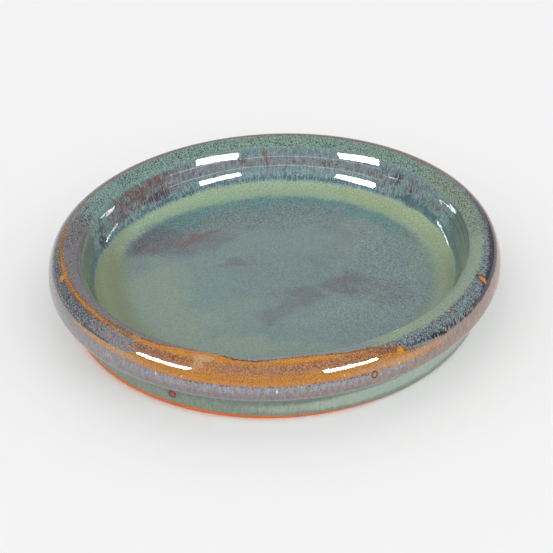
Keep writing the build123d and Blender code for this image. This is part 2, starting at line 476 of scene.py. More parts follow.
lay("salt", 2, 2, (-112, -8, 6, 0), (-98, -9, 7, 0.2), (-80, 3, 9, 0.3), (-60, 3, 10.5, 0.36),
    (-44, 3, 10, 0.4), (-30, 4, 9, 0.3), (0, 4.6, 9, 0.3), (18, 5, 9, 0.25), (34, 4, 9, 0.25),
    (60, 2, 8, 0.25), (85, 0, 5, 0.1), (110, 0, 4, 0), (140, 0, 3, 0))
lay("teal", 4.5, 2.6, (18, 3, 7, 0), (27, 4, 8, 0.4), (34, 4, 8.6, 0.95), (45, 3.2, 9.8, 1), (60, 2, 10, 1),
    (70, 0.6, 9.4, 1), (85, -0.2, 6.6, 1), (98, 0.4, 4.6, 0.7), (115, 0.5, 3.5, 0.3), (115.6, 3, 7, 0))
lay("teal_green", 2, 2, (18, 4, 7, 0), (34, 4, 8, 0.35), (50, 4.6, 8.4, 0.6), (62, 2, 7, 0.5),
    (75, 1, 4, 0.3), (90, 1, 3, 0))
lay("mauve_grey", 2.4, 1.6, (78, 3, 7, 0), (88, 1.8, 7.6, 0.6), (96, 1.6, 7.4, 0.95), (104, 1.6, 6, 0.8),
    (116, 1.6, 5, 0.6), (135, 1.6, 4, 0))
lay("plum", 4.4, 1.6, (19, 3, 6, 0), (24, 3.8, 7.4, 0.5), (29, 5.4, 8, 0.5), (33, 7.4, 9.6, 0.56),
    (38, 8.4, 11.2, 0.62), (43, 9, 12.6, 0.56), (50, 9.2, 13, 0.6), (58, 8.8, 12.6, 0.66), (63, 8, 12, 0.82),
    (70, 6.4, 11.2, 0.95), (75, 4.6, 10.6, 1), (80, 3.4, 9.8, 1), (86, 3, 9, 1), (92, 4, 8.2, 0.9),
    (100, 4, 7, 0.65), (112, 3, 5, 0.3), (130, 1.5, 3.2, 0), (165, 2, 4, 0))
lay("indigo", 3, 1.4, (26, 6, 8, 0), (32, 7.4, 9.4, 0.6), (40, 8.6, 10.6, 0.4), (48, 8.6, 10.8, 0.25),
    (58, 8, 11, 0.4), (64, 6.4, 11, 0.65), (70, 5, 10.6, 0.8), (74, 4, 9.8, 0.7), (78, 3.4, 8, 0.55),
    (86, 3, 6, 0.3), (96, 3, 6, 0))
lay("rust_line", 1.6, 1.6, (-180, -0.2, 2.2, 0.85), (-125, -0.4, 2.2, 0.75), (-110, 0.4, 2.4, 0.6),
    (-98, 0.4, 2, 0.4), (-85, 0.4, 1.5, 0), (84, 3, 5, 0), (96, 3.4, 6, 0.35), (106, 3, 6, 0.65),
    (118, 1.6, 4, 0.8), (130, -0.6, 2, 0.95))
lay("amber_dim", 2, 1.6, (-125, 0.6, 3, 0.1), (-112, 0.6, 3, 0.35), (-100, 0.5, 3.2, 0.6),
    (-90, 0.3, 3.4, 0.85), (-80, 0, 3.1, 1), (-60, -0.4, 3, 1), (-45, -0.3, 3, 1), (-38, -0.2, 3.4, 0.9),
    (-34, -0.6, 4, 0.9), (-28, -1.8, 4.6, 0.9), (-22, -3.2, 4, 0.95), (-16, -3.9, 3, 0.95),
    (-13, -2.2, 2, 0.9), (-11, 0, 2, 0.8), (-6, 0.9, 3, 0.8), (-2, 0.3, 3, 0.8), (2, -1.2, 2, 0.8),
    (8, -1.1, 2, 0.8), (13, 0.4, 3, 0.8), (18, 1.6, 4, 0.8), (22, 2, 7, 0.9), (26, 4.4, 9, 0.95),
    (30, 7, 12, 0.8), (33, 10.6, 13, 0.5), (40, 12, 14, 0))
lay("amber", 1.8, 1.4, (-42, 0.6, 3, 0), (-36, 0.6, 3.4, 0.75), (-30, 0, 4, 0.85), (-24, -1.8, 15, 0.9),
    (-20, -2.4, 15.2, 1), (-16, -2.8, 15.3, 1), (-13, -1.2, 15.3, 1), (-11, 1.2, 15.3, 1), (-6, 1.9, 15.4, 1),
    (-2.5, 1.5, 15.4, 1), (0, 0.1, 15.4, 1), (4, -0.3, 15.4, 1), (9, 0, 15.4, 1), (13, 1.3, 15.4, 1),
    (17, 2.6, 15.5, 1), (22, 3.6, 15.7, 0.9), (25, 8, 16, 0.95), (30, 10, 16.6, 1), (33, 12, 16.7, 0.9),
    (40, 13.6, 16.7, 0.5), (45, 13.8, 16.6, 0))
lay("amber", 1.4, 1.2, (-98, 1.2, 2.4, 0.15), (-88, 1, 2.6, 0.3), (-78, 0.6, 2.6, 0.6), (-68, 0.5, 2.4, 0.5),
    (-56, 0.4, 2.6, 0.6), (-44, 0.4, 2.6, 0.45), (-38, 0.4, 3, 0.2), (-34, 0, 4, 0), (120, 1, 3, 0))
lay("amber", 2, 2, (-66, 11.2, 12.8, 0), (-50, 11.4, 13.6, 0.2), (-42, 11, 13.8, 0.5), (-34, 9, 14.4, 0.9),
    (-28, 8.6, 15, 1), (-20, 8.6, 15.2, 1), (-14, 9, 15, 0), (160, 11, 13.5, 0))
lay("amber_middle", 4, 4.4, (-41, 3.6, 9, 0), (-37, 4, 8.8, 0.95), (-28, 4, 8.6, 0.95), (-22, 4, 8.8, 0.7),
    (-17, 4, 9.6, 0.55), (-10, 4, 9.8, 0.8), (0, 4.4, 9.8, 0.85), (10, 4.2, 9.6, 0.75), (18, 4.4, 9, 0.7),
    (24, 5, 9, 0.5), (30, 8, 10, 0))
lay("red_brown", 2.4, 3, (-42, 3, 6, 0), (-36, 3, 7.4, 0.5), (-26, 3.4, 7.4, 0.5), (-14, 3, 6, 0.25),
    (0, 3, 8, 0.3), (14, 3, 8, 0.4), (20, 4, 9.6, 0.45), (26, 5, 10, 0.5), (32, 9, 12, 0.4),
    (42, 11, 13.4, 0.25), (52, 11.6, 13.4, 0.4), (62, 11, 12.8, 0.25), (76, 8, 10, 0.1), (84, 6.6, 8.8, 0.25),
    (92, 5, 7, 0.15), (110, 3, 6, 0.25), (125, 2, 4, 0))
lay("tan_low", 2, 2, (-66, 11.4, 13, 0), (-56, 11.4, 13.6, 0.5), (-48, 10.9, 13.8, 1), (-40, 10.8, 14, 1),
    (-34, 10.8, 14, 0.6), (-28, 11, 14, 0))
lay("tan_low", 1.6, 1.6, (12, 12.4, 14.6, 0), (18, 12.2, 14.8, 0.6), (24, 12.2, 15, 0.85),
    (32, 12.6, 15.6, 0.95), (39, 12.8, 16, 0.9), (43, 13, 16, 0.5), (50, 13, 16, 0))
lay("lavender", 2, 2.4, (-58, 3, 9.6, 0), (-49, 3, 10, 0.55), (-43, 2.8, 9.8, 0.85), (-38, 2.8, 9.6, 0.5),
    (-32, 4, 9.4, 0))
lay("burnt", 0.9, 0.7, (-98, 2.8, 3.6, 0), (-80, 2.9, 3.6, 0.5), (-60, 2.8, 3.5, 0.6), (-46, 2.8, 3.4, 0.5),
    (-40, 3, 4, 0))
lay("burnt", 0.9, 0.9, (-17, -3, -2, 0), (-14, -1.8, -0.8, 0.6), (-12, -0.2, 0.8, 0.8), (-9, 0.7, 1.4, 0.75),
    (-5, 1.1, 1.8, 0.7), (-2, 0.6, 1.3, 0.5), (2, -1, -0.2, 0.3), (8, -0.8, 0, 0.3), (13, 0.6, 1.4, 0.5),
    (17, 1.8, 2.4, 0.5), (21, 2.4, 3, 0.3), (26, 4, 5, 0))
lay("hem", 1.4, 2, (-60, 13, 14, 0), (-42, 14, 15, 0.15), (-30, 14.4, 15.6, 0.35), (-20, 15, 16.4, 0.55),
    (-14, 15, 16.4, 0.45), (-8, 15.1, 16.3, 0.36), (5, 15.1, 16.3, 0.4), (12, 15.2, 16.5, 0.5),
    (20, 15.2, 16.7, 0.6), (24, 15.4, 16.6, 0.2), (40, 16, 17, 0))
lay("rust_specks", 2, 2, (-38, 3, 5, 0), (12, 2, 4, 0), (22, 2.2, 5.4, 0.5), (32, 2.2, 5.4, 0.36),
    (50, 2, 4.8, 0.3), (62, 2, 4.4, 0.2), (80, 1.4, 4, 0.25), (100, 1, 3.4, 0.2), (130, 0, 3, 0))
# Painted shadow: a darker green on the upper foot wall, under the rim's overhang
lay("foot_rim_shadow", 3, 3, (-180, 30, 40.4, 0.5), (-60, 34, 40, 0.4), (-30, 34, 41, 0.8), (10, 34, 41, 0.7),
    (30, 30, 38, 0.2), (60, 30, 38, 0.1), (120, 30, 38, 0.4))
# Painted light: a paler green on the lower foot wall, strongest on the front right, where the right lamp
# falls
lay("foot_painted_light", 4, 5, (-180, 42, 46, 0), (-20, 42, 46, 0.15), (0, 41, 47, 0.55), (20, 40, 47, 0.95),
    (45, 39, 47, 0.85), (70, 38, 47, 0.5), (110, 42, 46, 0))

# Each spot is (azimuth, reach, half width in degrees, half height, strength)
SPOTS = {
    "plum_wall": [(-138.5, -24, 6, 4, 0.56), (-131.5, -22, 3, 4, 0.5), (-106.5, -24.5, 3, 4.4, 0.62),
        (-108.5, -18, 2.2, 6, 0.5), (-121, -20, 2, 5, 0.34), (128.3, -22, 0.5, 3.2, 0.8),
        (134, -16.5, 2, 5, 0.55), (-137.5, -29.6, 1.6, 1.4, 0.5), (-124, -24, 2, 4, 0.3),
        (-102, -21, 3, 5, 0.3), (-145, -14, 3, 3, 0.35), (149, -17, 2, 4, 0.3)],
    "brown": [(-130.5, -17, 4.4, 4.6, 0.56), (-122.5, -17, 3, 4.6, 0.5), (-139, -14, 5, 2.6, 0.5),
        (-171, -17, 2, 4, 0.4), (160, -17.5, 4, 3.4, 0.35), (-125, -12.5, 9, 2, 0.48),
        (-138, -12.5, 8, 2, 0.45), (1, -2.4, 2, 2, 0.3)],
    "rust": [(-178.4, -16.6, 1.1, 8.4, 0.52), (-171, -14.5, 0.9, 4, 0.42), (-139.5, -12.4, 1, 1.6, 0.62),
        (-131, -13, 0.8, 1.6, 0.5), (-126, -12, 1, 1.5, 0.5), (-146, -13, 0.5, 1.4, 0.6),
        (-120, -10.8, 0.35, 1.2, 0.8), (-134, -11.6, 0.5, 1, 0.6), (169, -17, 0.6, 2, 0.4),
        (-59.5, 3, 1.2, 0.8, 0.6), (-23, 13.6, 0.8, 1, 0.4), (48, 4, 0.8, 1.4, 0.6),
        (82.6, 2.6, 0.6, 1.6, 0.4)],
    "cream": [(-18.2, 2.2, 2.8, 2.4, 0.8), (-19.4, 5, 2, 3.4, 0.7), (-20, 8, 1.4, 2.4, 0.5),
        (-37.6, 1.4, 1.2, 2.2, 0.5), (-44, 2, 1.6, 0.9, 0.4), (31, 14.6, 7, 1.2, 0.5),
        (14, 4, 0.6, 2.2, 0.35), (-38.4, 11.9, 5, 1.2, 0.4), (2, 3, 5, 0.8, 0.12), (-21, -6, 3.5, 1.6, 0.6)],
    "lavender": [(-145, -17.5, 4, 2.4, 0.5), (36.5, 10.6, 3, 1.8, 0.5), (-12, 4, 2, 1.4, 0.2),
        (34, 12, 3, 1.2, 0.3)],
    "bright": [(5, 2, 7.5, 1.2, 0.7), (-25.5, 1.6, 3, 1.6, 0.65), (-13.4, 2.6, 2, 1.4, 0.5),
        (-73.5, 3.6, 0.9, 1.4, 0.95), (-72.6, 5.4, 0.5, 1.6, 0.45), (29.5, 9.2, 0.9, 2.2, 0.9),
        (-56, 1.2, 2, 0.7, 0.3), (-18, 12, 5, 1.2, 0.4), (6, 12.6, 10, 1.2, 0.4)],
    # Painted reflections: soft pale glows on the crest's inner side
    "painted_pale_glow": [(34, -2.4, 3, 3, 0.3), (22, -6, 4, 3, 0.3), (101.4, -2.4, 1.2, 1, 0.5)],
}

# Each cloud on the well's floor is (x, y, half length, half width, turn in degrees, strength), in millimetres
CLOUDS = {
    "sage": [(-70, -16, 22, 34, 0, 0.8), (-56, -50, 26, 20, 30, 0.75), (-24, -72, 36, 14, -6, 0.7),
        (22, -76, 30, 10, 0, 0.5), (60, 50, 22, 12, -50, 0.45), (86, 8, 8, 30, 0, 0.45),
        (-30, -40, 30, 18, 30, 0.4), (34, -40, 22, 8, 30, 0.35), (50, 32, 14, 8, 40, 0.4)],
    "floor_blue": [(0, 86, 60, 8, 0, 0.8), (-52, 68, 30, 9, 38, 0.75), (-84, 40, 8, 18, -16, 0.7),
        (62, 60, 30, 7, -45, 0.55), (88, -14, 6, 30, 0, 0.4), (72, -50, 7, 26, -45, 0.2),
        (-40, -6, 22, 16, 70, 0.3), (-2, -46, 16, 26, 10, 0.3), (-46, -16, 8, 26, 0, 0.2)],
    "blue_specks": [(0, 70, 70, 24, 0, 0.45), (66, 10, 30, 60, 0, 0.34), (-60, 50, 40, 24, 40, 0.5),
        (60, -50, 30, 30, 0, 0.12), (0, 0, 120, 120, 0, 0.16), (4, 0, 40, 30, 0, 0.36)],
    "mauve": [(41, -10, 16, 11, 0, 0.6), (16, -20, 13, 14, -20, 0.56), (58, -20, 22, 11, -14, 0.4),
        (0, -36, 18, 9, 45, 0.46), (-74, 42, 22, 15, 42, 0.68), (-23, 18, 8, 6, 20, 0.5),
        (-46, 38, 28, 12, 24, 0.52), (34, 24, 34, 12, 60, 0.3), (-30, 60, 40, 12, 10, 0.3),
        (40, 52, 24, 14, -30, 0.3)],
    "rust_cloud": [(-50, 45, 14, 4.4, 22, 0.66), (-38, 50, 9, 3, 24, 0.55), (-75, 34, 5, 5, 30, 0.5),
        (-66, 38, 12, 3, 24, 0.32), (41, -4, 4, 7, 0, 0.4), (-24, 17, 5, 4, 20, 0.35),
        (58, -16, 10, 4, -10, 0.25)],
    "pool_yellow": [(48, 52, 4, 3, 0, 0.35), (60, 36, 5, 3, 0, 0.3), (-88, -10, 6, 20, 0, 0.3),
        (-40, -56, 14, 8, 20, 0.25)],
}

# Clouds where the grain is livelier than in the calm middle of the well's floor
GRIT_CLOUDS = [(0, 78, 90, 26, 0, 0.9), (72, 10, 30, 80, 0, 0.9), (-62, 54, 44, 22, 40, 0.9),
    (52, -40, 40, 30, 0, 0.75), (-76, -20, 20, 50, 0, 0.3), (20, 20, 60, 40, 0, 0.4)]


def drift(x, y, seed, length, count=9):
    """A soft seeded unevenness over the well's floor, between about -1 and 1."""
    draw = np.random.default_rng(seed)
    total = 0 * x
    for _ in range(count):
        turn, phase = draw.uniform(0, 2 * pi, 2)
        pitch = 2 * pi / (length * draw.uniform(0.5, 1.8))
        total = total + np.sin(pitch * (x * cos(turn) + y * sin(turn)) + phase)
    return total / sqrt(count)


# How far the colours wander from their layout: on the floor, along reach, and round the saucer
cloud_drift, cloud_length = 4, 26
rim_wander, wall_wander, floor_wander = 0.2, 0.2, 0.5
turn_wander = 0.5

# How calm the grain is on the floor, and how much of it runs in streaks on the wall and outside
floor_calming = 0.6
streak_share = 0.45


def layout(x, y, reach, azimuth):
    """Strength of every shade at each place. Lengths in millimetres."""
    on_floor = below(reach, -36, 6)
    x_drift, y_drift = drift(x, y, 21, cloud_length), drift(x, y, 22, cloud_length)
    x, y = x + cloud_drift * x_drift, y + cloud_drift * y_drift
    wander = rim_wander + wall_wander * below(reach, -24, 6) + floor_wander * below(reach, -34, 6)
    reach = reach + wander * waves(azimuth, reach, seed=23, across=30, along=14, count=12)
    azimuth = azimuth + turn_wander * waves(azimuth, reach, seed=24, across=24, along=12, count=12)
    strengths = {shade: 0 * reach for shade in SHADES}
    for shade, low_fade, high_fade, points in BANDS:
        strengths[shade] = np.maximum(strengths[shade], band(reach, azimuth, points, low_fade, high_fade))
    for shade, spots in SPOTS.items():
        strengths[shade] = np.maximum(strengths[shade], patches(reach, azimuth, spots))
    for shade, spots in CLOUDS.items():
        strengths[shade] = np.maximum(strengths[shade], clouds(x, y, spots) * on_floor)
    strengths["grit"] = np.maximum(1 - floor_calming * on_floor, clouds(x, y, GRIT_CLOUDS))
    on_wall = above(reach, -32, 4) * below(reach, -8, 4)
    strengths["streaky"] = streak_share * np.maximum(on_wall, above(reach, 10, 6))
    return strengths


def paint_layout(mesh, reach):
    """Gives each point of a glaze mesh the strengths of the shades, and the place its grain is read from."""
    co = np.empty(len(mesh.vertices) * 3, np.float32)
    mesh.vertices.foreach_get("co", co)
    x, y, _ = co.reshape(-1, 3).astype(float).T / mm
    azimuth = np.degrees(np.arctan2(x, -y))
    for name, weight in layout(x, y, reach, azimuth).items():
        strength = mesh.attributes.new(name, "FLOAT", "POINT")
        strength.data.foreach_set("value", weight.astype(np.float32))
    around = outer_radius / mm
    turn = np.radians(azimuth)
    places = np.stack([around * np.sin(turn), -around * np.cos(turn), reach], 1)
    grain = mesh.attributes.new("grain", "FLOAT_VECTOR", "POINT")
    grain.data.foreach_set("vector", places.astype(np.float32).ravel())


def paint(red, green, blue):
    """A colour given on the 0 to 255 scale of a screen, as a shader takes it."""
    def linear(level):
        share = level / 255
        return share / 12.92 if share <= 0.04045 else ((share + 0.055) / 1.055) ** 2.4
    return (linear(red), linear(green), linear(blue), 1)


# Shades in the order they are laid: each is its colour, the contrast of its grain, the kind of grain at its
# edge, and how ragged that edge is
SHADES = {
    "sage": ((140, 157, 143), 0.35, "speckle", 0.15),
    "floor_blue": ((104, 149, 146), 0.5, "speckle", 0.35),
    "blue_specks": ((106, 124, 128), 0.5, "fine_speckle", 0.85),
    "mauve": ((108, 108, 116), 0.5, "speckle", 0.2),
    "rust_cloud": ((122, 100, 100), 0.5, "speckle", 0.35),
    "pool": ((150, 173, 147), 0.3, "speckle", 0.4),
    "pool_yellow": ((154, 170, 136), 0.3, "cloud", 0.5),
    "pool_olive": ((128, 140, 112), 0.28, "cloud", 0.05),
    # Painted shade: the darker green of the well wall's sides
    "shaded_side_wall": ((95, 112, 104), 0.33, "cloud", 0.3),
    "wall": ((121, 139, 147), 0.72, "speckle", 0.6),
    "wall_green": ((116, 146, 138), 0.65, "hatch", 0.8),
    # Painted reflection of the front rim's inside, on the middle of the back wall
    "mid_wall_reflection": ((124, 130, 136), 0.65, "hatch", 0.85),
    "wall_brown": ((110, 100, 102), 0.6, "hatch", 0.85),
    # Painted reflection: the thin pale lines round the back wall
    "painted_reflection_line": ((172, 176, 179), 0.3, "hatch", 0.3),
    "fringe": ((80, 110, 118), 0.6, "hatch", 0.9),
    "haze": ((134, 127, 110), 0.39, "cloud", 0.3),
    "brown_hem": ((100, 90, 88), 0.57, "speckle", 0.5),
    "plum_wall": ((80, 72, 88), 0.6, "hatch", 0.75),
    "brown": ((106, 90, 78), 0.6, "hatch", 0.8),
    "crest_green": ((134, 163, 148), 0.34, "speckle", 0.5),
    "crest_blue": ((104, 138, 142), 0.36, "fine_speckle", 0.7),
    "crest_sage": ((138, 156, 136), 0.34, "speckle", 0.6),
    "crest_grey": ((117, 114, 118), 0.61, "speckle", 0.7),
    "lip_teal": ((128, 142, 140), 0.35, "speckle", 0.6),
    # Painted reflection: soft pale glows on the crest's inner side
    "painted_pale_glow": ((162, 176, 164), 0.18, "cloud", 0.2),
    "outside": ((142, 138, 141), 0.35, "hatch", 0.6),
    "outside_pale": ((150, 146, 150), 0.4, "speckle", 0.7),
    "outside_blue": ((150, 148, 155), 0.6, "speckle", 0.7),
    "outside_low": ((132, 125, 127), 0.35, "hatch", 0.7),
    "outside_pink": ((148, 132, 127), 0.4, "hatch", 0.8),
    "outside_rust": ((158, 128, 110), 0.4, "hatch", 0.85),
    # Charcoal glaze on the rim's left, and the painted dark reflection lines on the right wall
    "charcoal_and_dark_reflections": ((84, 88, 92), 0.6, "speckle", 0.7),
    "teal": ((118, 137, 141), 0.85, "speckle", 0.8),
    "teal_green": ((118, 144, 144), 0.55, "speckle", 0.8),
    "mauve_grey": ((100, 90, 95), 0.5, "hatch", 0.7),
    "plum": ((44, 29, 38), 0.8, "hatch", 0.75),
    "indigo": ((36, 38, 60), 0.8, "hatch", 0.8),
    "pepper": ((62, 66, 76), 0.8, "fine_speckle", 0.9),
    "salt": ((148, 148, 150), 0.3, "fine_speckle", 0.9),
    "rust_line": ((136, 108, 100), 0.5, "speckle", 0.7),
    "amber_dim": ((140, 96, 60), 0.6, "speckle", 0.85),
    "amber": ((190, 129, 62), 0.42, "speckle", 0.75),
    "amber_middle": ((168, 122, 92), 0.55, "fine_speckle", 0.8),
    "red_brown": ((132, 86, 70), 0.6, "fine_speckle", 0.85),
    "tan_low": ((184, 140, 101), 0.42, "speckle", 0.8),
    "lavender": ((136, 128, 131), 0.6, "speckle", 0.7),
    "burnt": ((96, 62, 44), 0.78, "speckle", 0.7),
    "hem": ((120, 84, 70), 0.8, "speckle", 0.9),
    "rust_specks": ((140, 104, 88), 0.5, "speckle", 0.9),
    "rust": ((132, 92, 76), 0.4, "hatch", 0.6),
    "bright": ((206, 138, 52), 0.4, "speckle", 0.6),
    "cream": ((196, 156, 112), 0.36, "cloud", 0.1),
    # Painted shadow under the rim, on the foot wall
    "foot_rim_shadow": ((118, 134, 124), 0.31, "cloud", 0.3),
    # Painted light on the lower foot wall
    "foot_painted_light": ((166, 183, 168), 0.2, "cloud", 0.3),
}

# The plain green under all the shades: its colour and the contrast of its grain
floor_colour, floor_contrast = (125, 144, 142), 0.55
foot_colour, foot_contrast = (132, 145, 131), 0.33

# Flecks: each is azimuth, reach, half width, half height, colour, and whether a dark ring lies round it
FLECKS = [
    (-29.3, 16.1, 0.5, 1.3, (224, 200, 160), False), (-28.2, 16.1, 0.5, 1.3, (96, 120, 160), False),
    (-0.7, 18.3, 0.5, 1.3, (216, 226, 200), False), (22, 17.3, 1.2, 1.5, (206, 128, 62), True),
    (65.2, 6, 2, 3, (204, 134, 64), True), (-22.7, 13.8, 0.5, 0.7, (226, 196, 130), False),
    (14.8, 13.3, 0.5, 0.7, (230, 200, 140), False), (28.5, 15.6, 0.4, 0.9, (226, 196, 140), False),
    (-8.5, 15.6, 0.8, 0.7, (110, 124, 160), False), (-28.3, 42, 1.8, 1.8, (184, 84, 58), True),
    (-52.5, 1.1, 0.35, 0.7, (222, 186, 90), False), (-55.3, 10.6, 0.35, 0.8, (206, 176, 80), False),
    (-102.4, -4.8, 0.4, 1, (40, 40, 46), False), (47.8, 3.6, 0.3, 0.7, (226, 190, 160), False),
]

# Grain at the edges of the shades, by kind: its scale, its roughness, and its share of the broad clouds
EDGES = {
    "cloud": (1.15, 0.55, 0.6),
    "speckle": (1.15, 0.55, 0.3),
    "fine_speckle": (1.6, 0.55, 0.1),
    "hatch": (1.05, 0.6, 0.3),
}
edge_noise_low, edge_noise_high = 0.36, 0.64
least_softness = 0.06

# Grain of the glaze, with the scales of its noise to the millimetre
streak_stretch = (1, 1, 0.35)
cloud_scale = 0.2
fine_scale = 1.35
streak_scale = 0.6
crystal_scale = 1.4
crystal_tint = 1.8
noise_low, noise_high = 0.3, 0.7

# Where the foot wall's plain green takes over from the floor's, as reaches in millimetres
foot_start, foot_full = 26, 30

# Flecks: how far their outline wavers, and where their colour and their ring begin and are full
fleck_waver = 1.6
fleck_start, fleck_full = 1.2, 0.6
ring_start, ring_full = 1.7, 1.25
ring_colour = (62, 44, 40)

glaze_roughness = 0.02
glaze_ior = 1.52

# Bare clay
clay_dark, clay_light, clay_speck = (198, 94, 34), (246, 136, 60), (104, 58, 40)
clay_grit_scale, clay_broad_scale, clay_speck_scale = 1.1, 0.06, 0.8
clay_grit_share, clay_speck_strength = 0.7, 0.6
clay_roughness, clay_specular = 0.85, 0.05
clay_bump_strength, clay_bump_height = 0.35, 0.15 * mm

# Backdrop that the saucer stands on
backdrop_grey = 0.94
backdrop_roughness = 0.9
backdrop_half = 6


class Nodes:
    """A new material's node tree, with a short way to add each kind of node."""

    def __init__(self, name):
        self.material = bpy.data.materials.new(name)
        self.material.use_nodes = True
        self.tree = self.material.node_tree
        self.tree.nodes.clear()

    def add(self, kind, **settings):
        node = self.tree.nodes.new("ShaderNode" + kind)
        for key, value in settings.items():
            setattr(node, key, value)
        return node

    def set(self, socket, value):
        if isinstance(value, bpy.types.NodeSocket):
            self.tree.links.new(value, socket)
        else:
            socket.default_value = value

    def fill(self, sockets, values):
        for socket, value in zip(sockets, values):
            self.set(socket, value)

    def math(self, operation, *values):
        node = self.add("Math", operation=operation)
        self.fill(node.inputs, values)
        return node.outputs[0]

    def vector(self, operation, *values):
        node = self.add("VectorMath", operation=operation)
        self.fill((node.inputs[0], node.inputs["Scale"]) if operation == "SCALE" else node.inputs, values)
        return node.outputs["Value" if operation == "LENGTH" else "Vector"]

    def ramp(self, value, low, high, kind="SMOOTHSTEP"):
        """0 up to low and 1 from high on."""
        node = self.add("MapRange", interpolation_type=kind)
        self.fill([node.inputs[name] for name in ("Value", "From Min", "From Max")], (value, low, high))
        return node.outputs["Result"]

    def mix(self, factor, first, second, kind="RGBA"):
        node = self.add("Mix", data_type=kind)
        a, b, result = {"RGBA": (6, 7, 2), "FLOAT": (2, 3, 0)}[kind]
        self.fill((node.inputs[0], node.inputs[a], node.inputs[b]), (factor, first, second))
        return node.outputs[result]

    def noise(self, place, scale, detail=2, roughness=0.5, apart=0):
        """Soft unevenness. Two of the same scale differ if they are set apart."""
        node = self.add("TexNoise", noise_dimensions="4D")
        sockets = [node.inputs[name] for name in ("Vector", "W", "Scale", "Detail", "Roughness")]
        self.fill(sockets, (place, apart, scale, detail, roughness))
        return node.outputs["Fac"]

    def attribute(self, name, output="Fac"):
        return self.add("Attribute", attribute_name=name).outputs[output]

    def place(self):
        """The point of the piece, in millimetres."""
        return self.vector("MULTIPLY", self.add("TexCoord").outputs["Object"], (1 / mm, 1 / mm, 1 / mm))

    def finish(self, settings):
        """The material, once its shader has those settings, each a number, a colour or a link."""
        shader = self.add("BsdfPrincipled")
        for name, value in settings.items():
            self.set(shader.inputs[name], value)
        out = self.add("OutputMaterial")
        self.set(out.inputs["Surface"], shader.outputs[0])
        return self.material


def edge_grain(n, kind, place, along, cloud, index):
    """A shade's own unevenness of its edge, so that no two shades break up in the same places."""
    scale, roughness, cloudy = EDGES[kind]
    own = n.noise(along if kind == "hatch" else place, scale, 2, roughness, index + 1)
    kept = n.math("MULTIPLY", own, 1 - cloudy)
    return n.ramp(n.math("MULTIPLY_ADD", cloud, cloudy, kept), edge_noise_low, edge_noise_high, "LINEAR")


def crystal_colours(n, place, contrast, shine):
    crystals = n.add("TexNoise")
    n.set(crystals.inputs["Vector"], place)
    n.set(crystals.inputs["Scale"], crystal_scale)
    n.set(crystals.inputs["Detail"], 1)
    tint = n.vector("SUBTRACT", crystals.outputs["Color"], (0.5, 0.5, 0.5))
    tint = n.vector("SCALE", tint, n.math("MULTIPLY", contrast, crystal_tint))
    return n.vector("SCALE", n.vector("ADD", tint, (1, 1, 1)), shine)


def with_flecks(n, colour, grain, uneven):
    for azimuth, height, wide, high, fleck_colour, ringed in FLECKS:
        turn = radians(azimuth)
        around = outer_radius / mm
        apart = n.vector("SUBTRACT", grain, (around * sin(turn), -around * cos(turn), height))
        apart = n.vector("LENGTH", n.vector("MULTIPLY", apart, (1 / wide, 1 / wide, 1 / high)))
        apart = n.math("ADD", apart, uneven)
        if ringed:
            colour = n.mix(n.ramp(apart, ring_start, ring_full), colour, paint(*ring_colour))
        colour = n.mix(n.ramp(apart, fleck_start, fleck_full), colour, paint(*fleck_colour))
    return colour


def glaze_material(name):
    n = Nodes(name)
    place = n.place()
    grain = n.attribute("grain", "Vector")
    along = n.vector("MULTIPLY", grain, streak_stretch)
    cloud = n.noise(place, cloud_scale, 4, 0.6)

    # The plain green, then each shade over the last one
    reach = n.add("SeparateXYZ")
    n.set(reach.inputs[0], grain)
    foot = n.ramp(reach.outputs["Z"], foot_start, foot_full)
    colour = n.mix(foot, paint(*floor_colour), paint(*foot_colour))
    contrast = n.math("MULTIPLY_ADD", foot, foot_contrast - floor_contrast, floor_contrast)
    for index, (shade, (middle, lively, edge, ragged)) in enumerate(SHADES.items()):
        soft = max(least_softness, (1 - ragged) / 2)
        uneven = edge_grain(n, edge, place, along, cloud, index)
        threshold = n.math("MULTIPLY_ADD", uneven, 1 - 2 * soft, soft)
        cover = n.ramp(n.math("SUBTRACT", n.attribute(shade), threshold), -soft, soft)
        colour = n.mix(cover, colour, paint(*middle))
        contrast = n.mix(cover, contrast, lively, "FLOAT")
    contrast = n.math("MULTIPLY", contrast, n.attribute("grit"))

    # The grain's light and dark, and its crystals
    fine = n.noise(place, fine_scale, 2, 0.6)
    streak = n.noise(along, streak_scale, 2, 0.6)
    mixed = n.mix(n.attribute("streaky"), fine, streak, "FLOAT")
    light = n.math("MULTIPLY_ADD", n.ramp(mixed, noise_low, noise_high, "LINEAR"), 2, -1)
    shine = n.math("MULTIPLY_ADD", light, contrast, 1)
    colour = n.vector("MULTIPLY", colour, crystal_colours(n, place, contrast, shine))
    colour = with_flecks(n, colour, grain, n.math("MULTIPLY_ADD", fine, fleck_waver, -fleck_waver / 2))
    return n.finish({"Base Color": colour, "Roughness": glaze_roughness, "IOR": glaze_ior})


def clay_material():
    n = Nodes("fired_clay")
    place = n.place()
    grit = n.noise(place, clay_grit_scale, 4, 0.7)
    broad = n.noise(place, clay_broad_scale, 3)
    grit_part = n.math("MULTIPLY", grit, clay_grit_share)
    broad_part = n.math("MULTIPLY", broad, 1 - clay_grit_share)
    share = n.ramp(n.math("ADD", grit_part, broad_part), noise_low, noise_high, "LINEAR")
    colour = n.mix(share, paint(*clay_dark), paint(*clay_light))
    specks = n.ramp(n.noise(place, clay_speck_scale, 2), 0.68, 0.74)
    colour = n.mix(n.math("MULTIPLY", specks, clay_speck_strength), colour, paint(*clay_speck))
    bump = n.add("Bump")
    n.set(bump.inputs["Strength"], clay_bump_strength)
    n.set(bump.inputs["Distance"], clay_bump_height)
    n.set(bump.inputs["Height"], grit)
    return n.finish({"Base Color": colour, "Roughness": clay_roughness, "Specular IOR Level": clay_specular,
                     "Normal": bump.outputs[0]})


